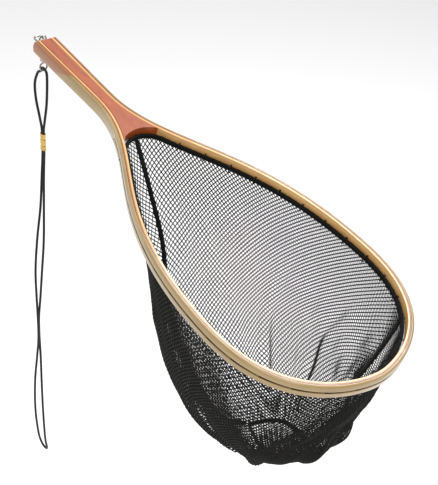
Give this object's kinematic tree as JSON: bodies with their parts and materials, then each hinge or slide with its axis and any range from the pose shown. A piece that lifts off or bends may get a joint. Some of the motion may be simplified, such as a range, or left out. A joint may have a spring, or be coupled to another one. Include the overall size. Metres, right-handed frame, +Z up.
{
  "type": "landing net",
  "caption": "Handheld landing net: laminated wooden teardrop hoop and handle, black mesh bag laced into a groove, and a corded wrist lanyard on a swivel snap.",
  "frame": {"origin": "middle of the grip, on the handle's top face, 70 mm from the butt", "axes": "+X from the butt towards the tip, +Y to the left of the net seen from the butt, +Z up; the tip points 12.6 degrees down and the bag and the lanyard hang along -Z"},
  "size_m": [0.5903, 0.2266, 0.6755],
  "materials": {
    "core_wood": "gloss varnish over red-brown hardwood",
    "outer_wood": "gloss varnish over olive-gold ash",
    "accent_wood": "gloss varnish over thin red-brown veneer",
    "inner_wood": "gloss varnish over pale ash",
    "mesh": "matt black knotless nylon mesh",
    "tape": "matt black woven seam tape",
    "lacing": "black waxed lacing cord",
    "nickel": "bright nickel plate",
    "cord": "black round braided cord",
    "brass": "polished brass"
  },
  "bodies": {
    "net": {"handle_core": "core_wood", "outer_strip": "outer_wood", "accent_strip": "accent_wood", "inner_strip": "inner_wood", "rim_binding": "tape", "lashing_cord": "lacing", "lashing_knot": "lacing", "bag_left_back": "mesh", "bag_left_front": "mesh", "bag_right_back": "mesh", "bag_right_front": "mesh", "bag_bottom": "mesh", "throat_seam_tape": "tape", "tip_seam_tape": "tape", "bottom_seam_tape": "tape", "screw_eye": "nickel"},
    "snap": {"snap_hook": "nickel", "gate_pin": "nickel"},
    "gate": {"snap_gate": "nickel"},
    "swivel": {"swivel_eye": "nickel"},
    "lanyard": {"lanyard_cord": "cord", "ferrule": "brass"}
  },
  "joints": [
    {"name": "snap_swing", "type": "hinge", "parent": "net", "child": "snap", "pos_m": [-0.08227, 0.0052, 0.01014], "axis": [0.9759, 0, -0.2181], "range_deg": [-40, 40]},
    {"name": "gate_hinge", "type": "hinge", "parent": "snap", "child": "gate", "pos_m": [-0.08227, 0.003, -0.01206], "axis": [1, 0, 0], "range_deg": [-20, 0], "stiffness_Nm_per_rad": 0.002, "springref_deg": 20.05},
    {"name": "swivel_turn", "type": "hinge", "parent": "snap", "child": "swivel", "pos_m": [-0.08227, 0.0052, -0.01886], "axis": [0, 0, 1], "continuous": true},
    {"name": "lanyard_swing", "type": "hinge", "parent": "swivel", "child": "lanyard", "pos_m": [-0.08227, 0.0052, -0.03206], "axis": [0, 1, 0], "range_deg": [-20, 20]}
  ]
}
